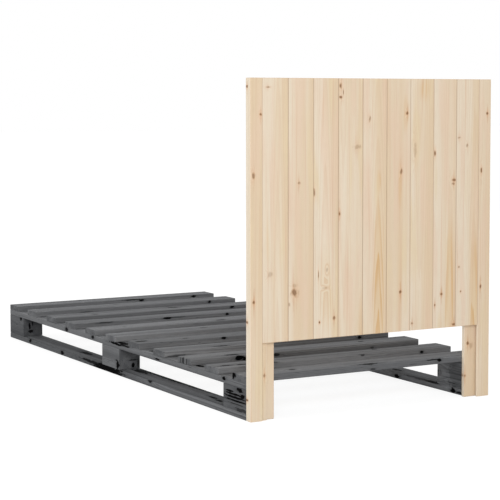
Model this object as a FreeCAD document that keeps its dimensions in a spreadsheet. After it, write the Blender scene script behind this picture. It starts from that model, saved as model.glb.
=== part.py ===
"""A single bed: a pallet-style base of stained pine and a headboard of half-lapped pine planks.

Frame: +Z up, +Y towards the headboard, +X to the right as seen from the foot of the bed.
The origin is on the floor, in the middle of the bed's length and width. Sizes are in millimetres.
"""
import FreeCAD, Part
import os
import Sketcher

doc = FreeCAD.newDocument("pallet_bed")
sheet = doc.addObject("Spreadsheet::Sheet", "Bed")

# Driving dimensions
DIMENSIONS = {
    # Base, which carries a mattress of 900 by 2000
    "base_length": 2000,
    "base_width": 900,
    "board_thickness": 20,
    "beam_width": 82,
    "block_length": 147,
    "block_height": 75,
    "slat_width": 88,
    # The slats repeat in two halves, each measured from its own first slat
    "slat_offset_0": 0,
    "slat_offset_1": 195,
    "slat_offset_2": 395,
    "slat_offset_3": 584,
    "slat_offset_4": 775,
    # Bevel that eases every sawn edge
    "arris": 1.5,
    # Headboard
    "headboard_height": 1040,
    "panel_clearance": 238,
    "plank_cover": 90,
    "plank_thickness": 14,
    "lap_width": 18,
    "seam_bevel": 1.5,
    "edge_cover": 42,
    "leg_width": 90,
    "leg_thickness": 14,
    "rail_height": 90,
    "rail_inset": 40,
    # Finish nails of flat wire, driven flush
    "nail_width": 1.6,
    "nail_depth": 1.4,
    "slat_nail_length": 35,
    "slat_nail_spread": 50,
    "headboard_nail_length": 25,
    "headboard_nail_spread": 44,
    "edge_nail_inset": 22,
    "edge_nail_lowest": 150,
    "edge_nail_highest": 1000,
    # Pallet nails of square wire, driven flush into the blocks from both ends
    "block_nail_side": 2.8,
    "block_nail_length": 60,
    "block_nail_stagger": 24,
    "runner_nail_spread": 90,
    "bearer_nail_spread": 60,
    # Bolts through the head blocks, and the threaded inserts that take them
    "bolt_diameter": 8,
    "bolt_head_diameter": 18,
    "bolt_head_height": 3,
    "bolt_inset": 20,
    "bolt_height_low": 40,
    "bolt_height_high": 74,
    "insert_diameter": 12,
    "insert_length": 18,
}
SLATS_PER_HALF = 5
PLANK_COUNT = 9
EDGE_NAIL_COUNT = 5

for row, (alias, value) in enumerate(DIMENSIONS.items(), start=1):
    sheet.set(f"A{row}", alias)
    sheet.set(f"B{row}", str(value))
    sheet.setAlias(f"B{row}", alias)
doc.recompute()

# Reference places, as expressions in the sheet's names
LEFT_SIDE = "(-Bed.base_width / 2)"
RIGHT_SIDE = "(Bed.base_width / 2)"
FOOT_END = "(-(Bed.base_length + Bed.leg_thickness + Bed.plank_thickness) / 2)"
HEAD_END = f"({FOOT_END} + Bed.base_length)"
PLANK_BACK = f"({HEAD_END} + Bed.leg_thickness)"
BEARER_UNDERSIDE = "(Bed.board_thickness + Bed.block_height)"
SLAT_UNDERSIDE = "(2 * Bed.board_thickness + Bed.block_height)"

# Sketch references: the two axes, the origin and the two ends of a line, and the edges of a plain box
HORIZONTAL_AXIS = -1
VERTICAL_AXIS = -2
ORIGIN = -1
START = 1
END = 2
BOX_EDGES = 12


def size(alias):
    """One driving dimension, read from the sheet."""
    return float(sheet.get(alias))


def add_body(label, x="0", y="0", z="0"):
    """An empty body whose place is bound to the sheet."""
    body = doc.addObject("PartDesign::Body", label)
    body.Label = label
    for axis, expression in zip("xyz", (x, y, z)):
        body.setExpression(".Placement.Base." + axis, expression)
    return body


def add_outline(body, role, corners):
    """A closed outline with straight sides; each corner is a pair of expressions."""
    sketch = body.newObject("Sketcher::SketchObject", body.Label + "_outline")
    plane = next(item for item in body.Origin.OriginFeatures if item.Role == role)
    sketch.AttachmentSupport = (plane, [""])
    sketch.MapMode = "FlatFace"
    count = len(corners)
    # The corners start apart from each other and are then drawn to their distances from the origin
    rough = [FreeCAD.Vector(place, place * place, 0) for place in range(count)]
    for place in range(count):
        sketch.addGeometry(Part.LineSegment(rough[place], rough[(place + 1) % count]))
    for place in range(count):
        following = (place + 1) % count
        sketch.addConstraint(Sketcher.Constraint("Coincident", place, END, following, START))
    for place, (across, up) in enumerate(corners):
        distances = (("DistanceX", VERTICAL_AXIS, across), ("DistanceY", HORIZONTAL_AXIS, up))
        for kind, axis, expression in distances:
            if expression == "0":
                sketch.addConstraint(Sketcher.Constraint("PointOnObject", place, START, axis))
                continue
            distance = Sketcher.Constraint(kind, ORIGIN, START, place, START, 1.0)
            number = sketch.addConstraint(distance)
            sketch.setExpression(f"Constraints[{number}]", expression)
    return sketch


def add_pad(body, corners, height):
    """An outline on the floor plane, raised to a height."""
    pad = body.newObject("PartDesign::Pad", body.Label + "_pad")
    pad.Profile = add_outline(body, "XY_Plane", corners)
    pad.setExpression("Length", height)
    return pad


def add_board(label, width, depth, height, x, y, z):
    """A sawn board with all its edges eased, standing on its corner nearest the origin."""
    body = add_body(label + "_blank", x, y, z)
    pad = add_pad(body, [("0", "0"), (width, "0"), (width, depth), ("0", depth)], height)
    easing = body.newObject("PartDesign::Chamfer", label + "_easing")
    easing.Base = (pad, [f"Edge{number + 1}" for number in range(BOX_EDGES)])
    easing.setExpression("Size", "Bed.arris")
    return body


def add_moulding(label, profile, height, x, y, z):
    """A moulded plank: its profile seen from above, raised to its length."""
    body = add_body(label + "_blank", x, y, z)
    add_pad(body, profile, height)
    return body


def add_turning(label, profile):
    """A turned piece that stands on the origin; its half profile lies beside the Z axis."""
    body = add_body(label)
    turning = body.newObject("PartDesign::Revolution", label + "_turning")
    sketch = add_outline(body, "XZ_Plane", profile)
    turning.Profile = sketch
    turning.ReferenceAxis = (sketch, ["V_Axis"])
    turning.Angle = 360
    return body


def add_group(label, single, places):
    """Identical fasteners as one group of separate solids."""
    solids = []
    for place in places:
        solid = single.Shape.copy()
        solid.Placement = place.multiply(solid.Placement)
        solids.append(solid)
    group = doc.addObject("Part::Feature", label)
    group.Shape = Part.makeCompound(solids)
    return group


def at(x, y, z, rotation=FreeCAD.Rotation()):
    """A place for one fastener."""
    return FreeCAD.Placement(FreeCAD.Vector(x, y, z), rotation)


blanks = {}

# Base: along each side a floor runner, three blocks and a bearer, all flush on the outside
BLOCK_STARTS = {
    "foot": FOOT_END,
    "middle": f"{FOOT_END} + (Bed.base_length - Bed.block_length) / 2",
    "head": f"{HEAD_END} - Bed.block_length",
}
for side, beam in (("left", LEFT_SIDE), ("right", f"{RIGHT_SIDE} - Bed.beam_width")):
    for name, underside in (("runner", "0"), ("bearer", BEARER_UNDERSIDE)):
        label = f"{name}_{side}"
        blanks[label] = add_board(
            label, "Bed.beam_width", "Bed.base_length", "Bed.board_thickness", beam, FOOT_END, underside
        )
    for end, start in BLOCK_STARTS.items():
        label = f"{end}_block_{side}"
        blanks[label] = add_board(
            label, "Bed.beam_width", "Bed.block_length", "Bed.block_height", beam, start, "Bed.board_thickness"
        )

# Slats across the bearers, the first and last flush with the ends of the base
for number in range(2 * SLATS_PER_HALF + 1):
    half, step = divmod(number, SLATS_PER_HALF)
    start = f"{FOOT_END} + {half} * (Bed.base_length - Bed.slat_width) / 2 + Bed.slat_offset_{step}"
    label = f"slat_{number + 1:02d}"
    blanks[label] = add_board(
        label, "Bed.base_width", "Bed.slat_width", "Bed.board_thickness", LEFT_SIDE, start, SLAT_UNDERSIDE
    )

# Headboard planks: half-lapped mouldings with bevelled seams, all laid the same way.
# The half on the mattress side reaches to the left, under the lip of the next plank.
HALF = "Bed.plank_thickness / 2"
FACE = "Bed.plank_thickness"
BELOW_BEVEL = "Bed.plank_thickness - Bed.seam_bevel"
FULL_WIDTH = "Bed.plank_cover + Bed.lap_width"
LAP_SIDE = [
    ("Bed.lap_width + Bed.seam_bevel", FACE),
    ("Bed.lap_width", BELOW_BEVEL),
    ("Bed.lap_width", HALF),
    ("0", HALF),
    ("0", "0"),
]


def lip_side(width):
    """The right-hand side of a moulding whose face is that far from its left-hand end."""
    return [
        (f"{width} - Bed.lap_width", "0"),
        (f"{width} - Bed.lap_width", HALF),
        (width, HALF),
        (width, BELOW_BEVEL),
        (f"{width} - Bed.seam_bevel", FACE),
    ]


for number in range(1, PLANK_COUNT + 1):
    label = f"plank_{number}"
    blanks[label] = add_moulding(
        label,
        LAP_SIDE + lip_side(FULL_WIDTH),
        "Bed.headboard_height - Bed.panel_clearance",
        f"{RIGHT_SIDE} - Bed.edge_cover - {number} * Bed.plank_cover - Bed.lap_width",
        PLANK_BACK,
        "Bed.panel_clearance",
    )

# Edge boards: one more plank ripped in two, with the cut sides outwards; they stand on the floor
EDGE_WIDTH = "Bed.edge_cover + Bed.lap_width"
BELOW_ARRIS = "Bed.plank_thickness - Bed.arris"
blanks["edge_board_right"] = add_moulding(
    "edge_board_right",
    LAP_SIDE + [(EDGE_WIDTH, "0"), (EDGE_WIDTH, BELOW_ARRIS), (f"{EDGE_WIDTH} - Bed.arris", FACE)],
    "Bed.headboard_height",
    f"{RIGHT_SIDE} - Bed.edge_cover - Bed.lap_width",
    PLANK_BACK,
    "0",
)
blanks["edge_board_left"] = add_moulding(
    "edge_board_left",
    [("Bed.arris", FACE), ("0", BELOW_ARRIS), ("0", "0")] + lip_side("(Bed.plank_cover - Bed.edge_cover)"),
    "Bed.headboard_height",
    LEFT_SIDE,
    PLANK_BACK,
    "0",
)

# Leg boards and rails, which hold the planks from the mattress side
for side, start in (("left", LEFT_SIDE), ("right", f"{RIGHT_SIDE} - Bed.leg_width")):
    label = f"leg_board_{side}"
    blanks[label] = add_board(
        label, "Bed.leg_width", "Bed.leg_thickness", "Bed.headboard_height", start, HEAD_END, "0"
    )
RAIL_UNDERSIDES = {
    "top_rail": "Bed.headboard_height - Bed.rail_inset - Bed.rail_height",
    "bottom_rail": "Bed.panel_clearance + Bed.rail_inset",
}
for label, underside in RAIL_UNDERSIDES.items():
    blanks[label] = add_board(
        label,
        "Bed.base_width - 2 * Bed.leg_width",
        "Bed.leg_thickness",
        "Bed.rail_height",
        f"{LEFT_SIDE} + Bed.leg_width",
        HEAD_END,
        underside,
    )

# One of each fastener: nails of flat and square wire, a flat-headed bolt and its threaded insert
NAIL_SIZES = {
    "slat_nail": ("Bed.nail_width", "Bed.nail_depth", "Bed.slat_nail_length"),
    "block_nail": ("Bed.block_nail_side", "Bed.block_nail_side", "Bed.block_nail_length"),
    "headboard_nail": ("Bed.nail_width", "Bed.headboard_nail_length", "Bed.nail_depth"),
}
single = {}
for label, sizes in NAIL_SIZES.items():
    single[label] = doc.addObject("Part::Box", label)
    for edge, expression in zip(("Length", "Width", "Height"), sizes):
        single[label].setExpression(edge, expression)
BOLT_TIP = "Bed.bolt_head_height + Bed.block_length + Bed.insert_length"
single["headboard_bolt"] = add_turning("headboard_bolt", [
    ("0", "0"),
    ("Bed.bolt_head_diameter / 2", "0"),
    ("Bed.bolt_head_diameter / 2", "Bed.bolt_head_height"),
    ("Bed.bolt_diameter / 2", "Bed.bolt_head_height"),
    ("Bed.bolt_diameter / 2", BOLT_TIP),
    ("0", BOLT_TIP),
])
single["bolt_insert"] = add_turning("bolt_insert", [
    ("Bed.bolt_diameter / 2", "0"),
    ("Bed.insert_diameter / 2", "0"),
    ("Bed.insert_diameter / 2", "Bed.insert_length"),
    ("Bed.bolt_diameter / 2", "Bed.insert_length"),
])
single["insert_bore"] = doc.addObject("Part::Cylinder", "insert_bore")
single["insert_bore"].setExpression("Radius", "Bed.insert_diameter / 2")
single["insert_bore"].setExpression("Height", "Bed.insert_length")
doc.recompute()

# Places of the fasteners, from the same dimensions
half_width = size("base_width") / 2
foot_end = -(size("base_length") + size("leg_thickness") + size("plank_thickness")) / 2
head_end = foot_end + size("base_length")
bearer_top = 2 * size("board_thickness") + size("block_height")
slat_top = bearer_top + size("board_thickness")
beam_middles = [side * (half_width - size("beam_width") / 2) for side in (-1, 1)]
slat_middles = []
for number in range(2 * SLATS_PER_HALF + 1):
    half, step = divmod(number, SLATS_PER_HALF)
    half_start = foot_end + half * (size("base_length") - size("slat_width")) / 2
    slat_middles.append(half_start + size(f"slat_offset_{step}") + size("slat_width") / 2)
block_middles = [
    foot_end + size("block_length") / 2,
    foot_end + size("base_length") / 2,
    head_end - size("block_length") / 2,
]
PAIR = (-0.5, 0.5)
places = {label: [] for label in single}

# Two nails at each crossing of a slat and a bearer, set on a diagonal
slat_nail_foot = slat_top - size("slat_nail_length")
for across in beam_middles:
    for along in slat_middles:
        for share in PAIR:
            shift = share * size("slat_nail_spread")
            places["slat_nail"].append(at(across + shift, along + shift, slat_nail_foot))

# Two nails into each block through the runner, and two through the bearer where a slat hides them
bearer_nail_foot = bearer_top - size("block_nail_length")
for across in beam_middles:
    for block, slat in zip(block_middles, slat_middles[::SLATS_PER_HALF]):
        for share in PAIR:
            stagger = share * size("block_nail_stagger")
            from_below = at(across + stagger, block + share * size("runner_nail_spread"), 0)
            from_above = at(across - stagger, slat + share * size("bearer_nail_spread"), bearer_nail_foot)
            places["block_nail"] += [from_below, from_above]

# Two nails through the rails into every plank, and a row through each leg into its edge board
rail_levels = [
    size("headboard_height") - size("rail_inset") - size("rail_height") / 2,
    size("panel_clearance") + size("rail_inset") + size("rail_height") / 2,
]
for number in range(PLANK_COUNT):
    middle = half_width - size("edge_cover") - (number + 0.5) * size("plank_cover")
    for level in rail_levels:
        for share in PAIR:
            across = middle + share * size("headboard_nail_spread")
            places["headboard_nail"].append(at(across, head_end, level))
nail_pitch = (size("edge_nail_highest") - size("edge_nail_lowest")) / (EDGE_NAIL_COUNT - 1)
for side in (-1, 1):
    across = side * (half_width - size("edge_nail_inset"))
    for step in range(EDGE_NAIL_COUNT):
        places["headboard_nail"].append(at(across, head_end, size("edge_nail_lowest") + step * nail_pitch))

# Two bolts through each head block, one above the other, into inserts in the legs
TOWARDS_HEAD = FreeCAD.Rotation(FreeCAD.Vector(1, 0, 0), -90)
bolt_heads = head_end - size("block_length") - size("bolt_head_height")
for side in (-1, 1):
    across = side * (half_width - size("bolt_inset"))
    for level in (size("bolt_height_low"), size("bolt_height_high")):
        places["headboard_bolt"].append(at(across, bolt_heads, level, TOWARDS_HEAD))
        places["bolt_insert"].append(at(across, head_end, level, TOWARDS_HEAD))
        places["insert_bore"].append(at(across, head_end, level, TOWARDS_HEAD))

groups = {label: add_group(label + "s", single[label], places[label]) for label in single}

# Each board is drilled by the fasteners that pass through it
DRILLED_BY = {
    "runner": ["block_nail"],
    "foot_block": ["block_nail"],
    "middle_block": ["block_nail"],
    "head_block": ["block_nail", "headboard_bolt"],
    "bearer": ["block_nail", "slat_nail"],
    "slat": ["slat_nail"],
    "plank": ["headboard_nail"],
    "edge_board": ["headboard_nail", "insert_bore"],
    "leg_board": ["headboard_nail", "insert_bore"],
    "top_rail": ["headboard_nail"],
    "bottom_rail": ["headboard_nail"],
}
FASTENERS = ("slat_nail", "block_nail", "headboard_nail", "headboard_bolt", "bolt_insert")
nodes = {label + "s": groups[label] for label in FASTENERS}
for label, blank in blanks.items():
    family = next(name for name in DRILLED_BY if label.startswith(name))
    drilling = doc.addObject("Part::Compound", label + "_drilling")
    drilling.Links = [groups[fastener] for fastener in DRILLED_BY[family]]
    piece = doc.addObject("Part::Cut", label)
    piece.Base = blank
    piece.Tool = drilling
    nodes[label] = piece
doc.recompute()

# Nothing is written unless every object and every shape is sound
for item in doc.Objects:
    if "Invalid" in item.State or "Error" in item.State:
        raise RuntimeError(f"{item.Name} failed: {item.State}")
for label, piece in nodes.items():
    piece.Label = label
    if piece.Shape.isNull() or not piece.Shape.isValid():
        raise RuntimeError(f"{label} has no sound shape")
    blank = blanks.get(label)
    if blank and not piece.Shape.Volume < blank.Shape.Volume:
        raise RuntimeError(f"{label} was not drilled")

os.makedirs("parts", exist_ok=True)
for label, piece in nodes.items():
    piece.Shape.exportStep(f"parts/{label}.step")
print(f"{len(nodes)} nodes written")
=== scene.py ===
import math
import random
import bmesh
import bpy
from mathutils import Matrix, Vector


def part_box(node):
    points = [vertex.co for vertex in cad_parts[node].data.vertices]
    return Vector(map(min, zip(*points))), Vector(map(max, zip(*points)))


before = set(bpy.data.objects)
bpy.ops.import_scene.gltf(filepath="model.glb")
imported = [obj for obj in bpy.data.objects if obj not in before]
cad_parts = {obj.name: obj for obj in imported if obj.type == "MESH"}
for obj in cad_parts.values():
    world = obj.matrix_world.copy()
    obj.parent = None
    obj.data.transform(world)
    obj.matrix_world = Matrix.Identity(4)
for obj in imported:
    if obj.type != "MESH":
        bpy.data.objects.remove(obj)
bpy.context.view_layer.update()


# Runners. Two pine boards lie flat on the floor along the sides of the bed and carry the blocks.
# They are sawn, planed and stained grey before assembly, so knots and torn grain drink the stain
# and go black. Nails from below hold the blocks on them.


class Grain:
    """A shader value that Python arithmetic works on."""

    def __init__(self, shader, socket):
        self.shader = shader
        self.socket = socket

    def __add__(self, other):
        return self.shader.math("ADD", self, other)

    __radd__ = __add__

    def __sub__(self, other):
        return self.shader.math("SUBTRACT", self, other)

    def __rsub__(self, other):
        return self.shader.math("SUBTRACT", other, self)

    def __mul__(self, other):
        return self.shader.math("MULTIPLY", self, other)

    __rmul__ = __mul__

    def __abs__(self):
        return self.shader.math("ABSOLUTE", self)


class Shader:
    """The nodes of one material or world."""

    def __init__(self, owner):
        owner.use_nodes = True
        self.tree = owner.node_tree
        self.tree.nodes.clear()

    def node(self, kind, settings=None, sockets=None, output=0):
        """Adds any node: its settings first, then values or links for its sockets."""
        node = self.tree.nodes.new("ShaderNode" + kind)
        for name, value in (settings or {}).items():
            setattr(node, name, value)
        for name, value in (sockets or {}).items():
            if isinstance(value, Grain):
                self.tree.links.new(value.socket, node.inputs[name])
            else:
                node.inputs[name].default_value = value
        return Grain(self, node.outputs[output]) if node.outputs else None

    def math(self, operation, first, second=0.0):
        """One step of arithmetic on values."""
        return self.node("Math", {"operation": operation}, {0: first, 1: second})

    def fade(self, value, start, end):
        """0 at start, 1 at end, smooth between."""
        return self.node("MapRange", {"interpolation_type": "SMOOTHSTEP"}, {0: value, 1: start, 2: end})

    def most(self, first, second):
        """The larger of two values."""
        return self.math("MAXIMUM", first, second)

    def coats(self, colour, *shades):
        """Lays shades over a colour one after the other, each by an amount of 0 to 1."""
        for shade, amount in shades:
            colour = self.node("Mix", {"data_type": "RGBA"}, {0: amount, 6: colour, 7: shade}, 2)
        return colour


class Finish(Shader):
    """The material of one piece of the bed."""

    def __init__(self, piece):
        self.piece = piece
        self.material = bpy.data.materials.new(piece + "_finish")
        super().__init__(self.material)

    def surface(self, colour, roughness, height, gloss, depth=0.0004, strength=0.35, metallic=0.0):
        """Joins the parts of the look, with height as a bump, and puts the material on the piece."""
        bump = self.node("Bump", None, {"Height": height, "Distance": depth, "Strength": strength})
        shader = self.node("BsdfPrincipled", None, {
            "Base Color": colour,
            "Roughness": roughness,
            "Metallic": metallic,
            "Specular IOR Level": gloss,
            "Normal": bump,
        })
        self.node("OutputMaterial", None, {"Surface": shader})
        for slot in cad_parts[self.piece].material_slots:
            slot.material = self.material


def screen(red, green, blue):
    """A colour in screen values, 0 to 255, as the linear light that a shader takes."""
    return tuple(((v / 255 + 0.055) / 1.055) ** 2.4 for v in (red, green, blue)) + (1.0,)


class Board(Finish):
    """One pine board: rings round the tree's core, streaks and fibres along its length, and knots.

    axes name its length, width and thickness. A knot is its centre, how far it reaches along X, Y and Z,
    with 0 for right through the board, and how dark it is. A crown is where the rings are cut so flat
    that they run out in arches: its place across the bed, and how much the rings lean along the board.
    """

    def __init__(self, piece, axes, knots, crown=None):
        super().__init__(piece)
        self.chance = random.Random(piece)
        pick = self.chance.uniform
        low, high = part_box(piece)
        self.length, width, thickness = ("XYZ".index(axis) for axis in axes)
        middle = [(a + b) / 2 for a, b in zip(low, high)]
        self.half = [(high[i] - low[i]) / 2 for i in (self.length, width, thickness)]
        self.spot = self.node("TexCoord", None, None, "Object")
        place = [self.node("SeparateXYZ", None, {0: self.spot}, i) - middle[i] for i in range(3)]
        self.along, self.across, self.deep = place[self.length], place[width], place[thickness]
        self.log = self.node("CombineXYZ", None, {
            0: self.across + pick(3, 40), 1: self.deep + pick(3, 40), 2: self.along + pick(3, 40)
        })
        self.wander = self.streaks(0.12, 1.2, 1.0)
        self.broad = self.streaks(0.030, 1.6, 2.0)
        self.thin = self.streaks(0.008, 0.5, 2.0)
        self.fibre = self.streaks(0.0011, 0.035, 2.0)
        self.ragged = (self.streaks(0.006, 0.016, 2.0) - 0.5) * 1.5
        self.knot_list = knots
        end_skin = 0.0008
        self.ends = self.fade(abs(self.along), self.half[0] - 2 * end_skin, self.half[0] - end_skin)
        if crown is None:
            self.add_rings(pick(-1.4, 1.4) * self.half[1], pick(-0.010, 0.010))
        else:
            self.add_rings(crown[0] - middle[width], crown[1])

    def streaks(self, wide, long, detail):
        """Noise drawn out along the board; one streak is about so wide and long, in metres."""
        drawn = self.node(
            "VectorMath", {"operation": "MULTIPLY"}, {0: self.log, 1: (1 / wide, 1 / wide, 1 / long)}
        )
        return self.node("TexNoise", None, {"Vector": drawn, "Scale": 1.0, "Detail": detail})

    def distance(self, centre, reach):
        """Distance from a centre, 1 at its reach along X, Y and Z; a reach of 0 counts as endless."""
        away = self.node("VectorMath", {"operation": "SUBTRACT"}, {0: self.spot, 1: centre})
        scale = [1 / r if r else 0.0 for r in reach]
        away = self.node("VectorMath", {"operation": "MULTIPLY"}, {0: away, 1: scale})
        return self.node("VectorMath", {"operation": "LENGTH"}, {0: away}, 1)

    def grown(self, reach, longer, wider):
        """A knot's reach made longer along the board and wider across it."""
        return [r * (longer if i == self.length else wider) for i, r in enumerate(reach)]

    def knots(self, start, end, longer=1.0, wider=1.0, rough=1.0):
        """Where the knots show: nothing beyond start radii, their full darkness within end radii."""
        shown = 0.0
        for centre, reach, dark in self.knot_list:
            far = self.distance(centre, self.grown(reach, longer, wider)) + self.ragged * rough
            shown = self.most(shown, self.fade(far, start, end) * dark)
        return shown

    def add_rings(self, core_across, lean):
        """A year of growth is pale early wood that ends in a dark line of late wood; knots push it aside.

        core_across is where the tree's core lies across the board, and lean how it tilts along the board.
        """
        pick = self.chance.uniform
        drift = self.along * pick(-0.006, 0.006) + (self.wander - 0.5) * 0.012
        sideways = self.across - core_across + drift
        core_depth = self.deep * self.chance.choice((-1, 1)) + pick(0.035, 0.055) + self.along * lean
        ripple = (self.broad - 0.5) * 0.004
        from_core = self.node("CombineXYZ", None, {0: sideways, 1: core_depth + ripple})
        radius = self.node("VectorMath", {"operation": "LENGTH"}, {0: from_core}, 1)
        for centre, reach, _ in self.knot_list:
            far = self.distance(centre, self.grown(reach, 3.5, 2.0))
            push = 0.9 * min(r for r in reach if r)
            radius = radius + self.fade(far, 1.0, 0.1) * push
        year_width = pick(0.0026, 0.0038)
        year = self.math("FRACT", radius * (1 / year_width) + (self.thin - 0.5) * 0.5)
        self.late = self.fade(year, 0.25, 0.9) * self.fade(year, 1.0, 0.93)


def grey_stain(board, lift=0.0, soak=1.0):
    """Thin matt grey stain: darker in the late wood and fibres, black in knots and torn grain.

    lift shifts its shade, and soak is how much darker the end grain gets.
    """
    lift += board.chance.uniform(-3, 5)
    full_stain = screen(106 + lift, 107 + lift, 109 + lift)
    thin_stain = screen(130 + lift, 131 + lift, 133 + lift)
    dark_streaks = board.fade(board.thin, 0.58, 0.76) * 0.6
    fibres = board.fade(board.fibre, 0.5, 0.72) * 0.4
    torn_grain = board.fade(board.streaks(0.0035, 0.06, 2.0), 0.69, 0.76) * 0.8
    end_grain = board.ends * (0.2 + board.late * 0.5) * soak
    round_knots = board.knots(1.0, 0.2, 2.6, 1.8, 0.3) * 0.45
    knots = board.knots(1.0, 0.8)
    colour = board.coats(
        full_stain,
        (thin_stain, board.fade(board.broad, 0.34, 0.66)),
        (screen(84, 85, 87), board.late * 0.5),
        (screen(58, 59, 61), dark_streaks),
        (screen(62, 63, 65), fibres),
        (screen(18, 18, 19), torn_grain),
        (screen(66, 67, 69), end_grain),
        (screen(54, 55, 56), round_knots),
        (screen(4, 4, 5), knots),
    )
    board.surface(
        colour,
        roughness=0.66 + board.fibre * 0.2 - board.late * 0.1,
        height=board.late * 0.6 + board.fibre * 0.5 + knots * 0.4,
        gloss=0.01,
    )


runner_knots = {
    "runner_right": [
        ((0.450, -0.793, 0.013), (0.010, 0.013, 0.008), 1.0),
        ((0.450, -0.462, 0.011), (0.010, 0.014, 0.009), 1.0),
        ((0.452, -0.185, 0.015), (0.012, 0.110, 0.006), 0.9),
        ((0.455, -0.042, 0.006), (0.030, 0.140, 0.026), 1.0),
        ((0.399, -0.345, 0.020), (0.014, 0.050, 0.005), 0.9),
        ((0.396, 0.123, 0.020), (0.016, 0.060, 0.005), 0.85),
        ((0.450, 0.311, 0.018), (0.008, 0.014, 0.006), 0.9),
        # Not a knot: a long dark band along the runner's inner top edge, under the bearer.
        ((0.374, 0.330, 0.020), (0.014, 0.280, 0.006), 0.8),
        ((0.407, 0.692, 0.020), (0.007, 0.034, 0.004), 1.0),
        ((0.416, 0.744, 0.020), (0.007, 0.026, 0.004), 1.0),
    ],
    "runner_left": [
        ((-0.368, 0.931, 0.010), (0.010, 0.016, 0.009), 1.0),
        ((-0.368, 0.966, 0.007), (0.006, 0.030, 0.004), 0.9),
        ((-0.368, 0.599, 0.008), (0.008, 0.016, 0.008), 1.0),
        ((-0.372, 0.810, 0.020), (0.012, 0.050, 0.004), 0.9),
        ((-0.374, 0.720, 0.019), (0.008, 0.110, 0.003), 0.5),
        ((-0.371, 0.500, 0.020), (0.006, 0.014, 0.004), 0.9),
        ((-0.405, 0.545, 0.020), (0.010, 0.030, 0.004), 0.9),
        ((-0.402, 0.240, 0.0), (0.008, 0.018, 0.0), 1.0),
        ((-0.446, -0.310, 0.0), (0.007, 0.010, 0.0), 1.0),
        ((-0.395, -0.620, 0.0), (0.006, 0.018, 0.0), 0.9),
    ],
}
for runner, knots in runner_knots.items():
    grey_stain(Board(runner, "YXZ", knots))


# Blocks. Three short lengths of thick pine stand on each runner and lift the bearers.
# They are cut from one stained length, with the grain along the bed, and nailed at top and bottom.
block_knots = {
    "foot_block_right": [
        ((0.450, -0.893, 0.088), (0.012, 0.012, 0.007), 1.0),
        ((0.423, -0.867, 0.060), (0.004, 0.006, 0.014), 1.0),
        ((0.418, -0.867, 0.040), (0.012, 0.006, 0.007), 0.95),
        ((0.411, -0.867, 0.070), (0.003, 0.006, 0.010), 0.8),
    ],
    "middle_block_right": [
        ((0.451, 0.048, 0.036), (0.008, 0.013, 0.016), 1.0),
        ((0.451, 0.042, 0.052), (0.006, 0.012, 0.004), 0.8),
        ((0.395, 0.060, 0.032), (0.006, 0.006, 0.011), 1.0),
        ((0.396, 0.060, 0.052), (0.020, 0.006, 0.003), 0.7),
        ((0.376, 0.060, 0.038), (0.003, 0.006, 0.016), 0.8),
    ],
    "head_block_right": [
        ((0.450, 0.945, 0.087), (0.012, 0.020, 0.008), 1.0),
        ((0.450, 0.880, 0.077), (0.008, 0.026, 0.0034), 1.0),
        ((0.450, 0.915, 0.0695), (0.008, 0.058, 0.0042), 1.0),
        ((0.450, 0.962, 0.070), (0.008, 0.017, 0.008), 1.0),
        ((0.450, 0.920, 0.0605), (0.008, 0.074, 0.0042), 1.0),
        ((0.450, 0.918, 0.0510), (0.008, 0.076, 0.0034), 1.0),
        ((0.450, 0.930, 0.0410), (0.008, 0.050, 0.002), 0.6),
        ((0.450, 0.955, 0.027), (0.008, 0.036, 0.006), 0.6),
    ],
    "foot_block_left": [((-0.400, -0.930, 0.0), (0.010, 0.014, 0.0), 0.9)],
    "middle_block_left": [((0.0, -0.020, 0.052), (0.0, 0.014, 0.009), 0.9)],
    "head_block_left": [
        ((-0.368, 0.842, 0.060), (0.010, 0.004, 0.012), 1.0),
        ((-0.368, 0.925, 0.034), (0.006, 0.030, 0.002), 0.7),
        # Not a knot: painted shade, a broad faint darkening of the block's inner face next to the
        # headboard.
        ((-0.368, 0.958, 0.058), (0.008, 0.060, 0.070), 0.3),
    ],
}
usual_lift = -5.0
darker_lift = {"foot_block_right": -22.0, "head_block_right": -16.0}
for block, knots in block_knots.items():
    grey_stain(Board(block, "YZX", knots), darker_lift.get(block, usual_lift))


# Bearers. One long board on each side lies flat on its three blocks and takes the slat ends.
# Same sawn and stained pine as the runners, nailed down into the blocks.
bearer_knots = {
    "bearer_right": [
        ((0.449, -0.418, 0.105), (0.008, 0.014, 0.009), 0.9),
        ((0.450, -0.172, 0.108), (0.008, 0.014, 0.008), 0.9),
        ((0.436, 0.070, 0.115), (0.016, 0.060, 0.006), 1.0),
        ((0.451, 0.030, 0.111), (0.006, 0.055, 0.005), 1.0),
        ((0.451, 0.105, 0.113), (0.005, 0.050, 0.004), 0.9),
        ((0.422, 0.278, 0.115), (0.012, 0.016, 0.005), 0.7),
        ((0.450, 0.367, 0.103), (0.006, 0.018, 0.004), 0.9),
        ((0.423, 0.632, 0.115), (0.012, 0.022, 0.005), 1.0),
        ((0.450, 0.845, 0.109), (0.006, 0.012, 0.006), 1.0),
    ],
    "bearer_left": [
        ((-0.440, -0.690, 0.0), (0.007, 0.014, 0.0), 0.9),
        ((-0.380, -0.110, 0.0), (0.006, 0.018, 0.0), 0.9),
        ((-0.430, 0.470, 0.0), (0.007, 0.014, 0.0), 0.9),
    ],
}
for bearer, knots in bearer_knots.items():
    grey_stain(Board(bearer, "YXZ", knots))


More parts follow.
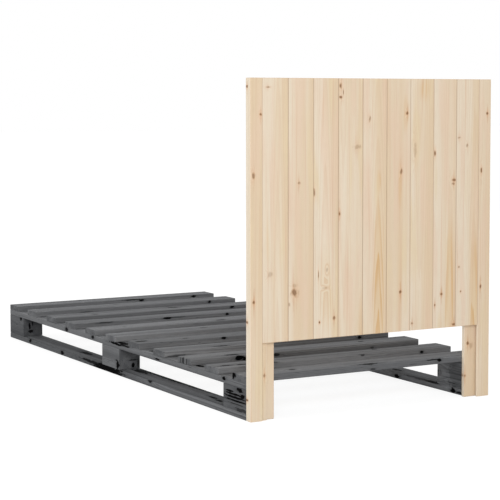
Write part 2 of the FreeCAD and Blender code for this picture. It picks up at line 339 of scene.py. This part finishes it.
# Slats. Eleven boards lie across the two bearers with open gaps, and carry the mattress.
# They are planed and stained pine with the sharp edges taken off, nailed at each crossing.
# The end grain of some took less of the stain.
slat_knots = {
    "slat_01": [
        ((-0.104, -0.926, 0.127), (0.012, 0.005, 0.006), 1.0),
        ((-0.055, -0.926, 0.132), (0.045, 0.004, 0.003), 0.8),
        ((-0.352, -0.926, 0.129), (0.011, 0.005, 0.005), 1.0),
        ((0.150, -0.990, 0.0), (0.014, 0.007, 0.0), 0.8),
    ],
    "slat_02": [
        ((-0.325, -0.731, 0.127), (0.008, 0.005, 0.006), 1.0),
        ((0.237, -0.731, 0.122), (0.030, 0.003, 0.003), 0.4),
        ((0.080, -0.790, 0.0), (0.013, 0.006, 0.0), 0.6),
    ],
    "slat_03": [
        ((-0.090, -0.592, 0.135), (0.034, 0.013, 0.006), 0.9),
        ((-0.326, -0.531, 0.128), (0.009, 0.006, 0.005), 1.0),
        ((0.270, -0.560, 0.0), (0.012, 0.007, 0.0), 0.8),
    ],
    "slat_04": [
        ((0.062, -0.342, 0.131), (0.018, 0.010, 0.005), 1.0),
        ((0.030, -0.344, 0.132), (0.060, 0.010, 0.003), 0.5),
        ((-0.201, -0.342, 0.130), (0.009, 0.006, 0.005), 1.0),
        ((0.326, -0.342, 0.132), (0.035, 0.006, 0.003), 0.6),
    ],
    "slat_05": [
        ((-0.078, -0.170, 0.135), (0.022, 0.012, 0.005), 0.7),
        ((0.310, -0.200, 0.0), (0.010, 0.005, 0.0), 0.6),
    ],
    "slat_06": [
        ((0.070, -0.020, 0.135), (0.016, 0.009, 0.004), 0.5),
        ((-0.300, -0.030, 0.0), (0.014, 0.007, 0.0), 1.0),
    ],
    "slat_07": [
        ((0.415, 0.172, 0.135), (0.022, 0.013, 0.006), 1.0),
        ((0.253, 0.187, 0.135), (0.013, 0.010, 0.004), 0.5),
        ((0.119, 0.225, 0.131), (0.009, 0.006, 0.005), 1.0),
        ((-0.210, 0.160, 0.0), (0.012, 0.006, 0.0), 1.0),
    ],
    "slat_08": [
        ((0.225, 0.406, 0.135), (0.034, 0.010, 0.006), 0.9),
        ((0.400, 0.425, 0.118), (0.040, 0.006, 0.004), 0.5),
        ((-0.325, 0.425, 0.126), (0.010, 0.006, 0.007), 1.0),
        ((-0.140, 0.350, 0.0), (0.016, 0.008, 0.0), 1.0),
    ],
    "slat_09": [
        ((0.283, 0.590, 0.135), (0.030, 0.011, 0.005), 0.9),
        ((0.268, 0.614, 0.127), (0.020, 0.014, 0.008), 1.0),
        ((0.242, 0.614, 0.122), (0.018, 0.006, 0.007), 1.0),
        ((0.451, 0.562, 0.124), (0.006, 0.008, 0.016), 0.7),
        ((0.451, 0.586, 0.124), (0.006, 0.003, 0.014), 0.7),
        ((0.451, 0.545, 0.124), (0.006, 0.003, 0.012), 0.5),
        ((0.128, 0.614, 0.126), (0.016, 0.006, 0.006), 0.8),
        ((-0.254, 0.614, 0.120), (0.008, 0.005, 0.004), 0.5),
        ((-0.240, 0.560, 0.0), (0.012, 0.006, 0.0), 1.0),
    ],
    "slat_10": [
        ((0.402, 0.772, 0.135), (0.032, 0.008, 0.005), 1.0),
        ((0.348, 0.776, 0.135), (0.026, 0.008, 0.005), 1.0),
        ((-0.328, 0.805, 0.126), (0.008, 0.006, 0.006), 1.0),
        ((-0.092, 0.800, 0.134), (0.014, 0.008, 0.004), 0.7),
        ((0.237, 0.792, 0.135), (0.012, 0.010, 0.005), 0.7),
        ((-0.186, 0.730, 0.0), (0.012, 0.006, 0.0), 1.0),
    ],
    "slat_11": [
        ((0.451, 0.906, 0.130), (0.008, 0.016, 0.010), 1.0),
        ((0.451, 0.903, 0.121), (0.008, 0.006, 0.009), 1.0),
        ((-0.270, 0.986, 0.127), (0.009, 0.005, 0.006), 1.0),
        ((-0.245, 0.986, 0.131), (0.030, 0.005, 0.0025), 0.8),
        ((-0.010, 0.986, 0.120), (0.011, 0.005, 0.003), 0.6),
        ((-0.004, 0.972, 0.135), (0.040, 0.012, 0.004), 0.9),
        ((0.260, 0.940, 0.135), (0.012, 0.010, 0.005), 0.7),
    ],
}
pale_ended = ("slat_02", "slat_03", "slat_04", "slat_06", "slat_10")
pale_soak, dark_soak = 0.2, 0.8
for slat, knots in slat_knots.items():
    grey_stain(Board(slat, "XYZ", knots), soak=pale_soak if slat in pale_ended else dark_soak)


# Leg boards and rails. Two full-height boards stand on the floor on the mattress side of the headboard,
# with two rails between them. They are planed knotty pine left bare, and everything is nailed to them.


def bare_pine(board, flames=(), pale=None, seams=0.0):
    """Planed pine with no finish: cream sapwood, pink and yellow streaks, warm late wood, amber flames.

    A flame is a centre, a reach along X, Y and Z and a strength. pale says where the sapwood lies, and
    seams where dust and shade darken the joints between boards.
    """
    if pale is None:
        pale = board.fade(board.wander, 0.4, 0.6)
    tint = board.streaks(0.045, 0.4, 2.0)
    pink = board.fade(tint, 0.50, 0.66) * 0.5
    yellow = board.fade(tint, 0.46, 0.32) * 0.7
    warm_streaks = board.fade(board.thin, 0.55, 0.75) * 0.45
    amber = 0.0
    for centre, reach, strength in flames:
        far = board.distance(centre, reach) + (board.thin - 0.5) * 0.9
        amber = board.most(amber, board.fade(far, 1.1, 0.4) * strength)
    fibres = board.fade(board.fibre, 0.52, 0.75) * 0.3
    # Every side face is painted cream: partly paler edge grain, partly a painted highlight like that of a
    # lit side face.
    side_skin = 0.0004
    pale_sides_and_highlight = board.fade(abs(board.across), board.half[1] - 2 * side_skin, board.half[1] - side_skin) * 0.6
    end_grain = board.ends * (0.35 + board.late * 0.4)
    round_knots = board.knots(1.0, 0.1, 3.2, 2.0, 0.0) * 0.6
    resin = board.knots(1.0, 0.1, 7.0, 0.9, 0.5) * board.fade(board.thin, 0.40, 0.60) * 0.6
    knots = board.knots(1.1, 0.5)
    knot_hearts = board.knots(0.7, 0.3) * 0.85
    colour = board.coats(
        screen(223, 201, 171),
        (screen(231, 217, 196), pale),
        (screen(228, 201, 177), pink),
        (screen(227, 208, 174), yellow),
        (screen(216, 180, 148), warm_streaks),
        (screen(220, 190, 146), amber * 0.5),
        (screen(208, 172, 134), board.late * 0.2),
        (screen(208, 160, 98), board.late * amber * 0.7),
        (screen(208, 184, 154), fibres),
        (screen(240, 228, 209), pale_sides_and_highlight),
        (screen(212, 178, 140), end_grain),
        (screen(226, 191, 160), round_knots),
        (screen(196, 144, 102), resin),
        (screen(178, 135, 94), knots * 0.85),
        (screen(102, 70, 42), knot_hearts),
        (screen(178, 150, 122), seams),
    )
    board.surface(
        colour,
        roughness=0.58 + board.fibre * 0.2 - board.late * 0.12,
        height=board.late * 0.6 + board.fibre * 0.4 + knots * 0.5,
        gloss=0.3,
        strength=0.28,
    )


def upright_knot(height, across_bed, size, dark=0.7, drawn=1.2):
    """A knot through an upright board of the headboard."""
    return (across_bed, 0.0, height), (size, 0.0, size * drawn), dark


leg_knots = {
    "leg_board_right": [
        upright_knot(1.014, 0.450, 0.004),
        upright_knot(0.302, 0.450, 0.005),
        upright_knot(0.065, 0.450, 0.004, 0.9),
        upright_knot(0.560, 0.385, 0.008),
        upright_knot(0.820, 0.425, 0.005),
    ],
    "leg_board_left": [
        upright_knot(0.177, -0.374, 0.006, 0.8),
        upright_knot(0.168, -0.386, 0.009, 0.25, 2.0),
        upright_knot(0.071, -0.363, 0.006, 0.6),
        upright_knot(0.480, -0.420, 0.007),
        upright_knot(0.890, -0.390, 0.005),
    ],
}
for leg, knots in leg_knots.items():
    bare_pine(Board(leg, "ZXY", knots))


def rail_knot(across_bed, height, size, dark=0.7, drawn=1.4):
    """A knot through a rail of the headboard."""
    return (across_bed, 0.0, height), (size * drawn, 0.0, size), dark


rail_knots = {
    "top_rail": [
        rail_knot(0.210, 0.940, 0.007),
        rail_knot(-0.110, 0.975, 0.006),
        rail_knot(-0.290, 0.950, 0.008),
    ],
    "bottom_rail": [
        rail_knot(0.090, 0.335, 0.008),
        rail_knot(-0.230, 0.305, 0.006),
        rail_knot(0.300, 0.360, 0.004),
    ],
}
for rail, knots in rail_knots.items():
    bare_pine(Board(rail, "XZY", knots))


# Edge boards. The two outermost boards of the headboard run down to the floor behind the leg boards.
# They are bare pine, two halves of one plank ripped lengthwise, so knots on both stand at the same
# heights. Nails through the leg boards hold them.


def seam_lines(board, seams, lap=0.018, half_line=0.0020):
    """Dust and shade in the bevelled seams, each with its X on the back and how dark it is.

    On the mattress side the same seam lies a lap further on. Below the planks there are no seams.
    """
    x, y, z = (board.node("SeparateXYZ", None, {0: board.spot}, i) for i in range(3))
    mid_thickness, plank_foot = 1.007, 0.238
    on_back = board.fade(y, mid_thickness + 0.0025, mid_thickness + 0.0030)
    on_front = board.fade(y, mid_thickness - 0.0030, mid_thickness - 0.0035)
    shade = 0.0
    for seam, dark in seams:
        back = board.fade(abs(x - seam), half_line, half_line * 0.45) * on_back
        front = board.fade(abs(x - seam + lap), half_line, half_line * 0.45) * on_front
        shade = board.most(shade, board.most(back, front) * dark)
    return shade * board.fade(z, plank_foot - 0.002, plank_foot + 0.002)


edge_knots = {
    "edge_board_right": [
        upright_knot(0.930, 0.414, 0.006, 1.0, 1.0),
        upright_knot(0.746, 0.439, 0.006, 0.6, 2.0),
        upright_knot(0.364, 0.438, 0.006, 0.9, 1.2),
        upright_knot(0.137, 0.398, 0.006, 0.6, 1.4),
    ],
    "edge_board_left": [
        upright_knot(0.930, -0.436, 0.006, 1.0, 1.0),
        upright_knot(0.745, -0.412, 0.005, 0.9, 2.2),
        upright_knot(0.364, -0.413, 0.005, 0.9, 1.6),
    ],
}
# The seams are counted from the bed's right side, a plank's width apart.
plank_width = 0.090
first_seam = 0.408
seam_shade = [0.36, 0.72, 0.62, 0.72, 0.76, 0.76, 0.64, 0.60, 0.74, 0.52]
seam_places = [(first_seam - plank_width * i, dark) for i, dark in enumerate(seam_shade)]
inner_seams = {"edge_board_right": seam_places[0], "edge_board_left": seam_places[-1]}
for edge_board, knots in edge_knots.items():
    board = Board(edge_board, "ZXY", knots)
    bare_pine(
        board,
        pale=board.fade(board.wander, 0.45, 0.7) * 0.6,
        seams=seam_lines(board, [inner_seams[edge_board]]),
    )


# Planks. Nine upright boards fill the headboard, each lapped over its neighbour by half its thickness,
# with the edges bevelled so that every joint shows as a fine line. They are bare knotty pine, paler on
# the sap side, and nailed to the rails from the mattress side.


def flame(low, high, across_bed, wide, strength=0.8):
    """A warm patch of grain between two heights."""
    return (across_bed, 0.0, (low + high) / 2), (wide, 0.0, (high - low) / 2), strength


# How much each plank pales towards its right-hand edge; below 0 it pales towards the other edge.
sap_side = [1.0, 0.8, 1.0, -0.5, 1.0, 0.15, 0.8, 0.9, 1.0]
plank_knots = [
    [upright_knot(1.012, 0.389, 0.012, 0.5, 0.25), upright_knot(0.445, 0.382, 0.014, 0.2, 0.8)],
    [
        upright_knot(0.721, 0.281, 0.007, 0.5, 0.9),
        upright_knot(0.385, 0.295, 0.016, 0.68, 1.0),
        upright_knot(0.407, 0.295, 0.013, 0.2, 0.6),
        upright_knot(0.350, 0.314, 0.005, 0.35, 1.6),
    ],
    [
        upright_knot(0.692, 0.226, 0.006, 0.6, 2.6),
        upright_knot(0.436, 0.210, 0.0018, 0.8, 9.0),
        upright_knot(0.449, 0.180, 0.006, 0.2, 1.6),
        upright_knot(0.394, 0.186, 0.012, 0.2, 0.4),
        upright_knot(0.288, 0.206, 0.004, 1.4, 1.0),
        upright_knot(0.299, 0.152, 0.006, 0.75, 1.4),
    ],
    [
        upright_knot(1.018, 0.130, 0.006, 0.8, 2.0),
        upright_knot(0.998, 0.121, 0.0025, 0.6, 6.0),
        upright_knot(0.982, 0.130, 0.007, 0.75, 0.7),
        upright_knot(0.828, 0.069, 0.017, 0.25, 0.5),
        upright_knot(0.621, 0.134, 0.005, 1.0, 1.8),
    ],
    [upright_knot(0.914, 0.023, 0.005, 0.5, 2.4)],
    [
        upright_knot(0.931, -0.119, 0.006, 1.0, 1.1),
        upright_knot(0.747, -0.097, 0.006, 0.65, 2.2),
        upright_knot(0.365, -0.096, 0.006, 0.9, 1.1),
    ],
    [upright_knot(0.261, -0.141, 0.006, 0.5, 0.8), upright_knot(0.815, -0.150, 0.009, 0.2, 3.0)],
    [
        upright_knot(0.804, -0.227, 0.005, 1.0, 2.2),
        upright_knot(0.716, -0.302, 0.010, 0.8, 0.6),
        upright_knot(0.704, -0.300, 0.008, 0.5, 0.6),
        upright_knot(0.348, -0.256, 0.006, 0.9, 1.0),
        upright_knot(0.314, -0.230, 0.004, 0.8, 1.2),
        upright_knot(0.246, -0.306, 0.009, 0.8, 0.6),
    ],
    [
        upright_knot(0.852, -0.323, 0.009, 0.35, 0.5),
        upright_knot(0.826, -0.355, 0.006, 0.4, 1.4),
        upright_knot(0.432, -0.325, 0.005, 0.5, 1.0),
        upright_knot(0.352, -0.332, 0.004, 0.8, 1.2),
    ],
]
plank_flames = {
    "plank_3": [flame(0.24, 0.54, 0.182, 0.028, 0.35)],
    "plank_4": [flame(0.10, 0.40, 0.052, 0.014, 0.5)],
    "plank_5": [flame(0.10, 0.67, -0.011, 0.024, 0.8), flame(0.67, 0.76, -0.012, 0.010, 0.9)],
    "plank_6": [flame(0.60, 0.80, -0.092, 0.010, 0.6), flame(0.86, 1.0, -0.115, 0.012, 0.5)],
    "plank_7": [flame(0.96, 1.06, -0.185, 0.024, 0.5)],
    "plank_8": [flame(0.10, 0.62, -0.292, 0.022, 0.8)],
    "plank_9": [flame(0.14, 0.56, -0.388, 0.019, 0.8)],
}
plank_crowns = {
    "plank_3": (0.186, 0.012),
    "plank_5": (-0.011, 0.015),
    "plank_8": (-0.290, 0.006),
    "plank_9": (-0.388, 0.011),
}
for i, knots in enumerate(plank_knots):
    plank = "plank_%d" % (i + 1)
    board = Board(plank, "ZXY", knots, plank_crowns.get(plank))
    uneven = (board.broad - 0.5) * 2.2 + (board.wander - 0.5) * 2.0
    sapwood = board.fade(board.across * (sap_side[i] * 16.0) + uneven, -0.7, 0.7)
    bare_pine(board, plank_flames.get(plank, ()), sapwood, seam_lines(board, seam_places[i:i + 2]))


# Nails. Slim nails hold the slats, square pallet nails the blocks, and short nails the headboard.
# They are cut from steel wire and driven in flush. Those in the stained base have gone a darker grey.


def dull_steel(piece, dark, bright):
    """Wire or plated steel between two shades of grey, with fine scuffs."""
    metal = Finish(piece)
    spot = metal.node("TexCoord", None, None, "Object")
    scuffs = metal.node("TexNoise", None, {"Vector": spot, "Scale": 260.0, "Detail": 3.0})
    metal.surface(
        metal.coats(
            screen(dark, dark, dark),
            (screen(bright, bright, bright), metal.fade(scuffs, 0.35, 0.65)),
        ),
        roughness=0.32 + scuffs * 0.25,
        height=scuffs,
        gloss=0.5,
        depth=0.0001,
        strength=0.2,
        metallic=1.0,
    )


for nails in ("slat_nails", "block_nails"):
    dull_steel(nails, dark=84, bright=112)
dull_steel("headboard_nails", dark=150, bright=186)


# Bolts and inserts. Long bolts through the head blocks screw into threaded sleeves in the legs.
# They are turned from steel and plated with zinc.
for fitting in ("headboard_bolts", "bolt_inserts"):
    dull_steel(fitting, dark=158, bright=196)


# Floor and backdrop. A plain pale studio floor that keeps a soft shadow, and a white world behind it.
# What the camera sees of both is nearly pure white, while the light that they throw on the bed is dimmer.


def seen_straight(shader):
    """1 for what the camera sees, directly, in metal or through glass."""
    seen = 0.0
    for ray in ("Is Camera Ray", "Is Glossy Ray", "Is Transmission Ray"):
        seen = shader.most(seen, shader.node("LightPath", None, None, ray))
    return seen


floor_half_width = 40.0
floor_drop = 0.0005
floor_mesh = bpy.data.meshes.new("floor")
shape = bmesh.new()
bmesh.ops.create_grid(shape, x_segments=1, y_segments=1, size=floor_half_width)
bmesh.ops.translate(shape, verts=shape.verts, vec=(0.0, 0.0, -floor_drop))
shape.to_mesh(floor_mesh)
shape.free()
floor = bpy.data.objects.new("floor", floor_mesh)
bpy.context.scene.collection.objects.link(floor)
floor_paint = bpy.data.materials.new("floor_paint")
paint = Shader(floor_paint)
bounce_grey = (0.50, 0.50, 0.50, 1.0)
shadow_grey = (0.24, 0.24, 0.24, 1.0)
glow = 0.85
unseen_floor = paint.node("BsdfDiffuse", None, {"Color": bounce_grey})
seen_floor = paint.node("AddShader", None, {
    0: paint.node("BsdfDiffuse", None, {"Color": shadow_grey}),
    1: paint.node("Emission", None, {"Strength": glow}),
})
floor_look = paint.node("MixShader", None, {0: seen_straight(paint), 1: unseen_floor, 2: seen_floor})
paint.node("OutputMaterial", None, {"Surface": floor_look})
floor_mesh.materials.append(floor_paint)

world = bpy.data.worlds.new("studio")
bpy.context.scene.world = world
air = Shader(world)
white = (1.0, 1.0, 1.0, 1.0)
room_light, backdrop_light = 0.67, 1.0
room = air.node("Background", None, {"Color": white, "Strength": room_light})
backdrop = air.node("Background", None, {"Color": white, "Strength": backdrop_light})
world_look = air.node("MixShader", None, {0: seen_straight(air), 1: room, 2: backdrop})
air.node("OutputWorld", None, {"Surface": world_look})


# Light. One large softbox behind the camera lights what the camera sees, one beyond the foot of the bed
# lights the mattress side, and a weak one stands off the right side. The bright room fills the rest.


def facing(place, ahead):
    """The matrix of a lamp or camera that stands at a place and looks ahead."""
    return Matrix.Translation(place) @ ahead.to_track_quat("-Z", "Y").to_matrix().to_4x4()


def soft_lamp(name, place, target, size, watts):
    """A square softbox of a size in metres, turned to a target."""
    lamp = bpy.data.lights.new(name, "AREA")
    lamp.size = size
    lamp.energy = watts
    holder = bpy.data.objects.new(name, lamp)
    holder.matrix_world = facing(place, Vector(target) - Vector(place))
    bpy.context.scene.collection.objects.link(holder)


soft_lamp("camera_softbox", place=(3.8, 7.0, 2.6), target=(0.1, 0.6, 0.5), size=3.5, watts=288.0)
soft_lamp("foot_softbox", place=(-2.2, -6.4, 3.0), target=(0.0, 0.4, 0.4), size=3.5, watts=140.0)
soft_lamp("side_softbox", place=(5.6, -0.6, 2.4), target=(0.2, 0.0, 0.3), size=3.0, watts=48.0)


# Camera. It stands behind the headboard on the bed's right, a little lower than the headboard's top,
# and looks slightly down. Its lens is given in pixels of the photograph.
photo_width_px = 500
sensor_mm = 36.0
lens_px = 1603.5
camera_place = (2.7849, 5.2020, 0.9733)
yaw, pitch = 0.52515, 0.06851
camera = bpy.data.cameras.new("camera")
camera.sensor_width = sensor_mm
camera.lens = lens_px / photo_width_px * sensor_mm
camera.shift_x, camera.shift_y = -0.0536, -0.08
camera.clip_end = 200.0
camera_object = bpy.data.objects.new("camera", camera)
ahead = Vector(
    (-math.sin(yaw) * math.cos(pitch), -math.cos(yaw) * math.cos(pitch), -math.sin(pitch))
)
camera_object.matrix_world = facing(camera_place, ahead)
bpy.context.scene.collection.objects.link(camera_object)
bpy.context.scene.camera = camera_object
bpy.context.scene.view_settings.view_transform = "Standard"
